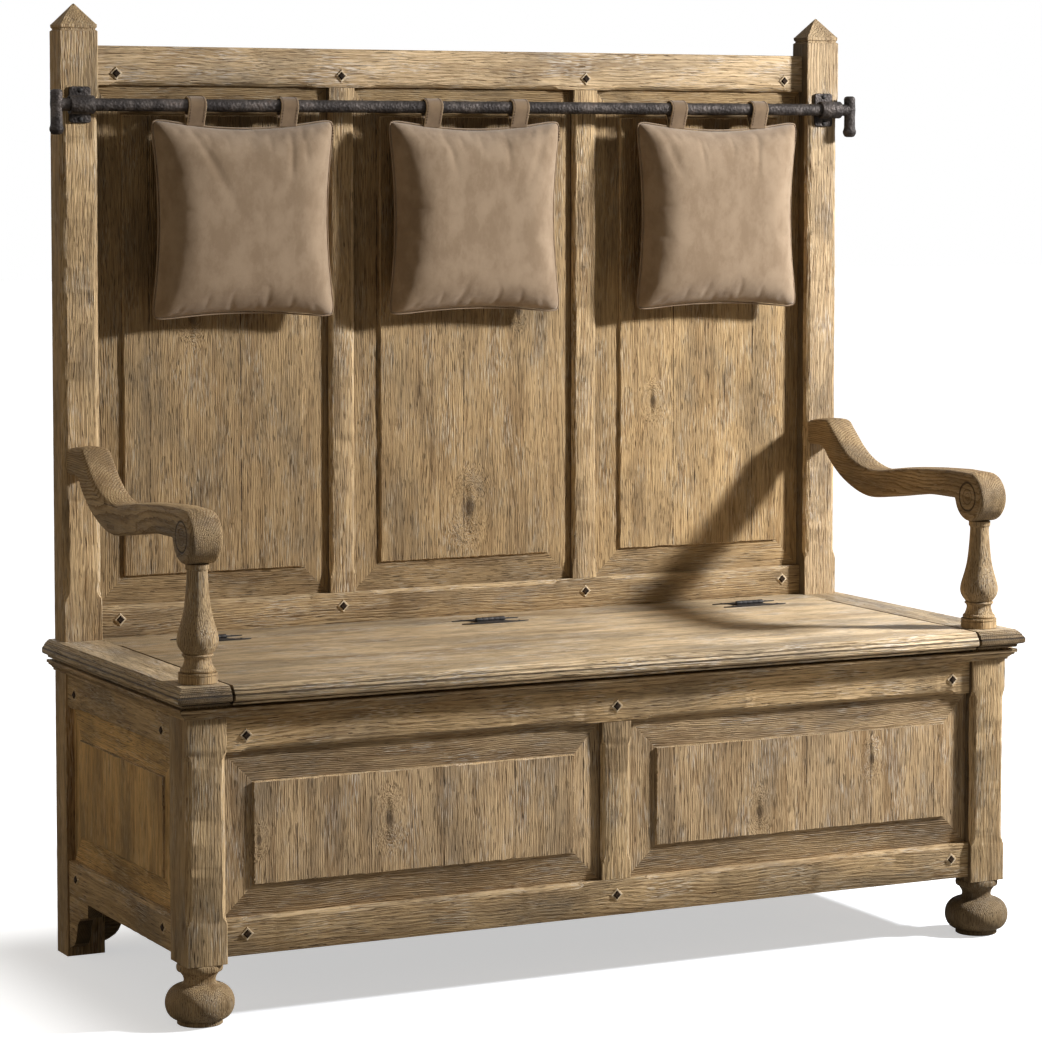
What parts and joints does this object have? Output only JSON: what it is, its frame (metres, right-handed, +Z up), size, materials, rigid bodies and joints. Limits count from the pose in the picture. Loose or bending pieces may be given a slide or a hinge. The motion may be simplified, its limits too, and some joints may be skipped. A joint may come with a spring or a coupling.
{
  "type": "settle bench",
  "caption": "Oak storage settle with a panelled back, hinged seat lid, scrolled arms on turned balusters, bun feet, and back pillows hung from an iron rod.",
  "frame": {"origin": "on the floor, in the middle of the settle seen from above", "axes": "+Z up, +Y from the front of the seat to the back, +X to the right of someone who looks at the front"},
  "size_m": [1.4832, 0.6074, 1.524],
  "materials": {
    "oak": "limed oak with worn, hewn edges",
    "panel_oak": "limed oak panels",
    "seat_oak": "pale scrubbed oak",
    "iron": "hammered, waxed dark iron",
    "suede": "brushed suede over a loose filling",
    "hide": "suede leather straps with stitched edges"
  },
  "bodies": {
    "carcass": {"back_post_left": "oak", "back_post_right": "oak", "back_top_rail": "oak", "back_bottom_rail": "oak", "back_muntin_left": "oak", "back_muntin_right": "oak", "back_panel_left": "panel_oak", "back_panel_centre": "panel_oak", "back_panel_right": "panel_oak", "front_post_left": "oak", "front_post_right": "oak", "front_top_rail": "oak", "front_bottom_rail": "oak", "front_muntin": "oak", "front_panel_left": "panel_oak", "front_panel_right": "panel_oak", "side_top_rail_left": "oak", "side_bottom_rail_left": "oak", "side_panel_left": "panel_oak", "side_top_rail_right": "oak", "side_bottom_rail_right": "oak", "side_panel_right": "panel_oak", "chest_rear_rail": "oak", "chest_back_board": "panel_oak", "chest_floor": "panel_oak", "cornice_front": "oak", "cornice_left": "oak", "cornice_right": "oak", "bun_foot_left": "oak", "bun_foot_right": "oak", "side_foot_bracket_left": "oak", "side_foot_bracket_right": "oak", "rear_foot_bracket_left": "oak", "rear_foot_bracket_right": "oak", "seat_rear_board": "seat_oak", "seat_end_board_left": "seat_oak", "seat_end_board_right": "seat_oak", "arm_left": "oak", "arm_right": "oak", "arm_baluster_left": "oak", "arm_baluster_right": "oak", "hinge_fixed_leaf_left": "iron", "hinge_fixed_leaf_centre": "iron", "hinge_fixed_leaf_right": "iron", "rod_bracket_left": "iron", "rod_bracket_right": "iron"},
    "lid": {"seat_lid": "seat_oak", "hinge_lid_leaf_left": "iron", "hinge_lid_leaf_centre": "iron", "hinge_lid_leaf_right": "iron"},
    "rod": {"hanging_rod": "iron"},
    "loops_left": {"loop_left_a": "hide", "loop_left_b": "hide"},
    "pillow_left": {"pillow_left": "suede"},
    "loops_centre": {"loop_centre_a": "hide", "loop_centre_b": "hide"},
    "pillow_centre": {"pillow_centre": "suede"},
    "loops_right": {"loop_right_a": "hide", "loop_right_b": "hide"},
    "pillow_right": {"pillow_right": "suede"}
  },
  "joints": [
    {"name": "lid_hinge", "type": "hinge", "parent": "carcass", "child": "lid", "pos_m": [0, 0.1795, 0.512], "axis": [-1, 0, 0], "range_deg": [0, 100]},
    {"name": "rod_turn", "type": "hinge", "parent": "carcass", "child": "rod", "pos_m": [0, 0.2357, 1.3634], "axis": [1, 0, 0], "continuous": true},
    {"name": "loops_left_slide", "type": "slide", "parent": "carcass", "child": "loops_left", "axis": [1, 0, 0], "range_m": [-0.07, 0.045]},
    {"name": "pillow_left_swing", "type": "hinge", "parent": "loops_left", "child": "pillow_left", "pos_m": [-0.4156, 0.2357, 1.3634], "axis": [-1, 0, 0], "range_deg": [0, 85]},
    {"name": "loops_centre_slide", "type": "slide", "parent": "carcass", "child": "loops_centre", "axis": [1, 0, 0], "range_m": [-0.045, 0.06]},
    {"name": "pillow_centre_swing", "type": "hinge", "parent": "loops_centre", "child": "pillow_centre", "pos_m": [0, 0.2357, 1.3634], "axis": [-1, 0, 0], "range_deg": [0, 85]},
    {"name": "loops_right_slide", "type": "slide", "parent": "carcass", "child": "loops_right", "axis": [1, 0, 0], "range_m": [-0.08, 0.03]},
    {"name": "pillow_right_swing", "type": "hinge", "parent": "loops_right", "child": "pillow_right", "pos_m": [0.4646, 0.2357, 1.3634], "axis": [-1, 0, 0], "range_deg": [0, 85]}
  ]
}
